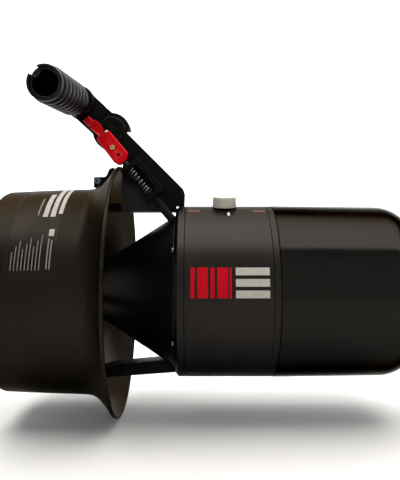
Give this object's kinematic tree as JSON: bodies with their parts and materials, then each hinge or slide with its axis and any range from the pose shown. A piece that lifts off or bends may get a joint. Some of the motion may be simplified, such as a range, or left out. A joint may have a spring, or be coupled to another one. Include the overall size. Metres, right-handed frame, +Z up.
{
  "type": "underwater scooter",
  "caption": "Towing underwater scooter: black cylindrical hull with a pull-off nose, ducted propeller, folding side grip, pull trigger and speed knob.",
  "frame": {"origin": "centre of the bounding box on its bottom face, under the thrust axis", "axes": "+X along the thrust axis towards the nose, +Z up towards the handle bracket, the grip on the -Y side"},
  "size_m": [0.445, 0.278, 0.368],
  "materials": {
    "anodised_hull": "satin",
    "polished_nose": "gloss",
    "duct_plastic": "satin",
    "black_coat": "matte",
    "pivot_plastic": "matte",
    "grip_plastic": "satin",
    "grip_rubber": "matte",
    "seal_rubber": "matte",
    "red_anodised": "gloss",
    "stainless": "satin",
    "motor_steel": "satin",
    "black_steel": "satin",
    "brass": "gloss",
    "cream_nylon": "satin",
    "clear_plastic": "gloss",
    "battery_wrap": "satin",
    "cast_alloy": "satin",
    "grey_plastic": "matte"
  },
  "bodies": {
    "hull": {"hull_tube": "anodised_hull", "rear_collar": "anodised_hull", "nose_ring": "anodised_hull", "rear_o_ring": "seal_rubber", "hull_o_ring": "seal_rubber", "nose_o_ring": "seal_rubber", "battery_tray": "cast_alloy", "battery_pack_left": "battery_wrap", "battery_pack_right": "battery_wrap", "battery_connector": "grey_plastic", "controller_heat_sink": "cast_alloy", "motor_controller": "grey_plastic", "speed_potentiometer": "grey_plastic", "knob_seal": "seal_rubber", "tail_cone": "anodised_hull", "motor_front_cover": "cast_alloy", "motor_stator": "motor_steel", "motor_rear_cover": "cast_alloy", "front_bearing": "stainless", "rear_bearing": "stainless", "shaft_seal": "seal_rubber", "duct": "duct_plastic", "bottom_strut": "black_coat", "top_strut": "black_coat", "bracket_plate_right": "black_coat", "bracket_plate_left": "black_coat", "bracket_cover": "black_coat", "bracket_bolt_1": "stainless", "bracket_bolt_2": "stainless", "hinge_bolt": "stainless", "pivot_cap": "pivot_plastic", "lip_clamp": "black_coat", "lip_clamp_bolt": "stainless", "rod_guide": "black_coat", "trigger_spring": "stainless", "switch_fitting": "black_coat", "bulkhead_screw_1": "stainless", "bulkhead_screw_2": "stainless", "bulkhead_screw_3": "stainless", "bulkhead_screw_4": "stainless"},
    "propeller": {"drive_shaft": "stainless", "motor_rotor": "motor_steel", "propeller": "duct_plastic", "propeller_nut": "duct_plastic", "drive_pin": "stainless"},
    "trigger": {"trigger_lever": "red_anodised", "trigger_clamp_screw": "brass", "trigger_buffer": "cream_nylon", "pull_rod": "black_steel"},
    "grip": {"grip_arm": "grip_plastic", "grip_tube": "anodised_hull", "grip_sleeve": "grip_rubber"},
    "knob": {"speed_knob": "clear_plastic", "knob_stem": "stainless"},
    "nose": {"nose_cap": "polished_nose"}
  },
  "joints": [
    {"name": "propeller_spin", "type": "hinge", "parent": "hull", "child": "propeller", "pos_m": [-0.17, 0, 0.139], "axis": [1, 0, 0], "continuous": true},
    {"name": "trigger_pull", "type": "slide", "parent": "hull", "child": "trigger", "axis": [-0.6388, 0, 0.7694], "range_m": [0, 0.006], "stiffness_N_per_m": 1200, "springref_m": -0.004, "deforming": ["trigger_spring"]},
    {"name": "grip_fold", "type": "hinge", "parent": "hull", "child": "grip", "pos_m": [-0.1106, 0, 0.3178], "axis": [0, -1, 0], "range_deg": [0, 55]},
    {"name": "speed_knob_turn", "type": "hinge", "parent": "hull", "child": "knob", "pos_m": [0.0155, -0.01975, 0.23192], "axis": [0, -0.2079, 0.9781], "range_deg": [-135, 135]},
    {"name": "nose_pull", "type": "slide", "parent": "hull", "child": "nose", "axis": [1, 0, 0], "range_m": [0, 0.15]}
  ]
}
